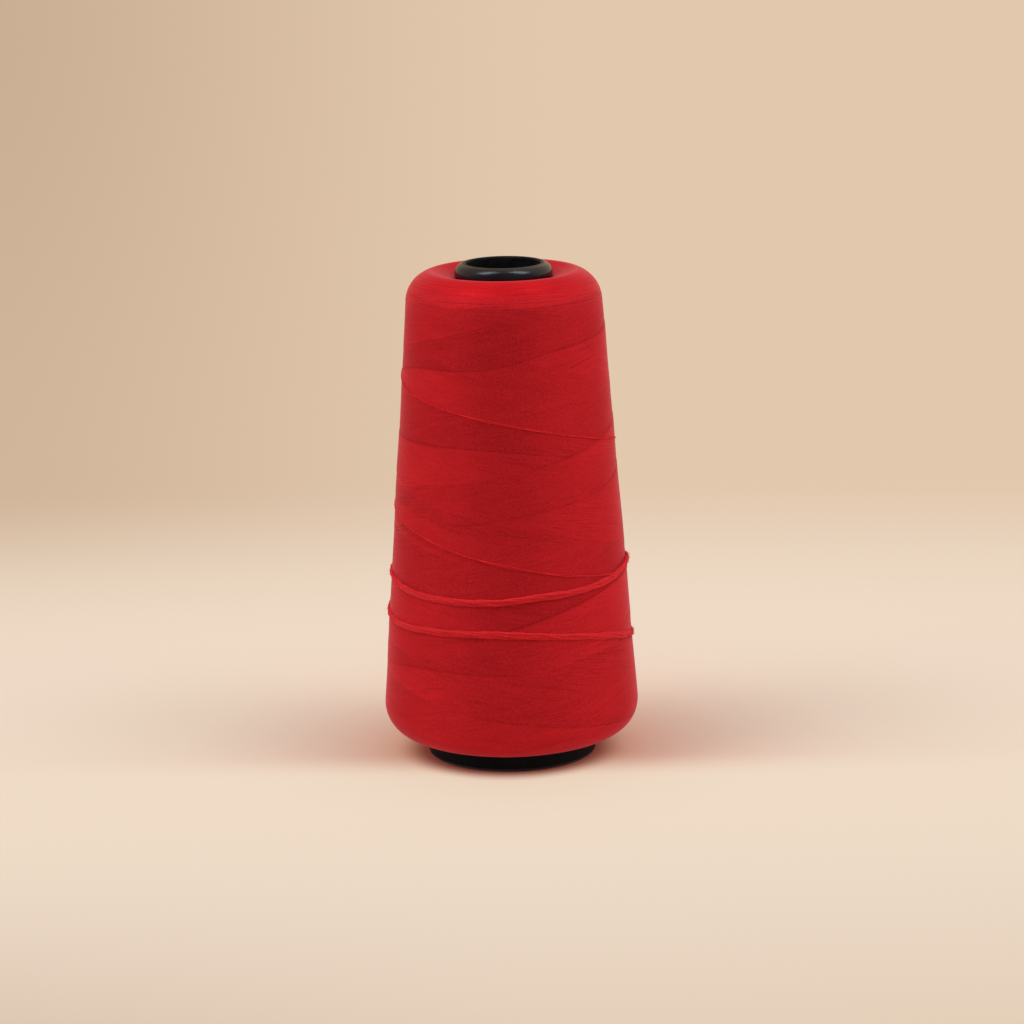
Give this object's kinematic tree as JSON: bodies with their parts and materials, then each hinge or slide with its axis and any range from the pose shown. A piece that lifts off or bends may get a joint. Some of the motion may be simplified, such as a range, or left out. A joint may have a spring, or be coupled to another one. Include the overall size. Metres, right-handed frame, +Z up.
{
  "type": "cone of sewing thread",
  "caption": "Tapered plastic cone carrying a cross-wound package of sewing thread, open at the nose and the base, with its loose outer end laid round the package.",
  "frame": {"origin": "on the cone's axis, at the bottom of its foot, where it stands", "axes": "+Z up along the cone's axis, towards the nose; -Y towards the pictured side"},
  "size_m": [0.0898, 0.0901, 0.17],
  "materials": {
    "black_plastic": "moulded black plastic, softly glossy nose, finely textured foot",
    "red_thread": "cross-wound spun polyester thread, soft sheen",
    "red_thread_courses": "single courses of spun polyester thread with short fuzz",
    "red_thread_bundle": "loosely twisted bundle of spun polyester thread with short fuzz"
  },
  "bodies": {
    "root": {"plastic_cone": "black_plastic", "thread_package": "red_thread", "outer_winding": "red_thread_courses", "thread_tail": "red_thread_bundle"}
  },
  "joints": []
}
